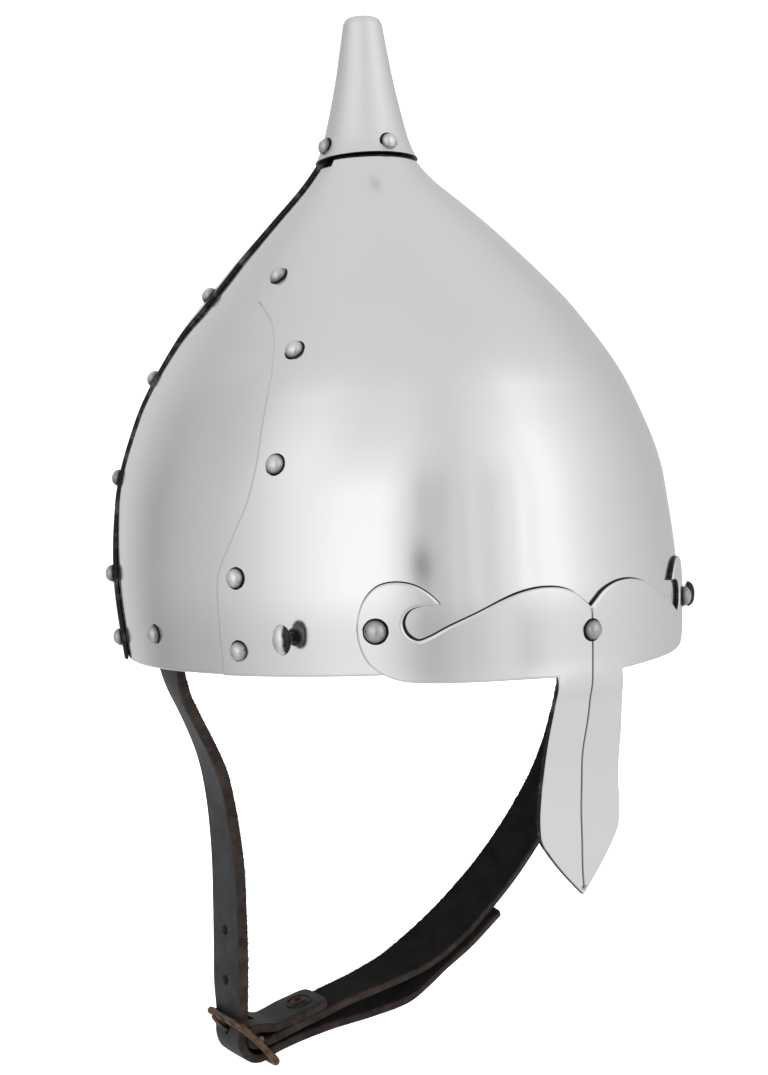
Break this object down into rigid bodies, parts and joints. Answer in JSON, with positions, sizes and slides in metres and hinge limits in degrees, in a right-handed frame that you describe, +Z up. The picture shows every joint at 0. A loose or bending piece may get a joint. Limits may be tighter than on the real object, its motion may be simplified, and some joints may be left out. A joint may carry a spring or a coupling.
{
  "type": "spangenhelm helmet",
  "caption": "Riveted steel plate helmet with a pointed crown, hollow spike, brow plate with nasal guard and a buckled leather chin strap.",
  "frame": {"origin": "middle of the rim plane, where the helmet sits on the head", "axes": "+Z up the crown, the front looks along -Y, the wearer's right is -X"},
  "size_m": [0.2014, 0.2355, 0.3758],
  "materials": {
    "polished_steel": "satin polished steel with fine brushing",
    "rivet_steel": "duller domed steel with dark rims",
    "black_leather": "smooth black grain outside, suede inside, dark brown raw edges",
    "bronze_wire": "antique brown bronze",
    "rust_brown_rivet": "dull red brown"
  },
  "bodies": {
    "root": {"front_plate": "polished_steel", "back_plate": "polished_steel", "left_plate": "polished_steel", "right_plate": "polished_steel", "brow_nasal": "polished_steel", "spike": "polished_steel", "front_rivet_right_1": "rivet_steel", "front_rivet_right_2": "rivet_steel", "front_rivet_right_3": "rivet_steel", "front_rivet_right_4": "rivet_steel", "front_rivet_right_5": "rivet_steel", "back_rivet_right_1": "rivet_steel", "back_rivet_right_2": "rivet_steel", "back_rivet_right_3": "rivet_steel", "back_rivet_right_4": "rivet_steel", "back_rivet_right_5": "rivet_steel", "strap_rivet_right": "rivet_steel", "brow_rivet_right": "rivet_steel", "stud_right": "rivet_steel", "front_rivet_left_1": "rivet_steel", "front_rivet_left_2": "rivet_steel", "front_rivet_left_3": "rivet_steel", "front_rivet_left_4": "rivet_steel", "front_rivet_left_5": "rivet_steel", "back_rivet_left_1": "rivet_steel", "back_rivet_left_2": "rivet_steel", "back_rivet_left_3": "rivet_steel", "back_rivet_left_4": "rivet_steel", "back_rivet_left_5": "rivet_steel", "strap_rivet_left": "rivet_steel", "brow_rivet_left": "rivet_steel", "stud_left": "rivet_steel", "brow_rivet_middle": "rivet_steel", "spike_rivet_1": "rivet_steel", "spike_rivet_2": "rivet_steel", "spike_rivet_3": "rivet_steel", "spike_rivet_4": "rivet_steel", "billet_strap": "black_leather", "buckle_strap": "black_leather", "buckle_frame": "bronze_wire", "buckle_tongue": "bronze_wire", "fold_rivet": "rust_brown_rivet"}
  },
  "joints": []
}
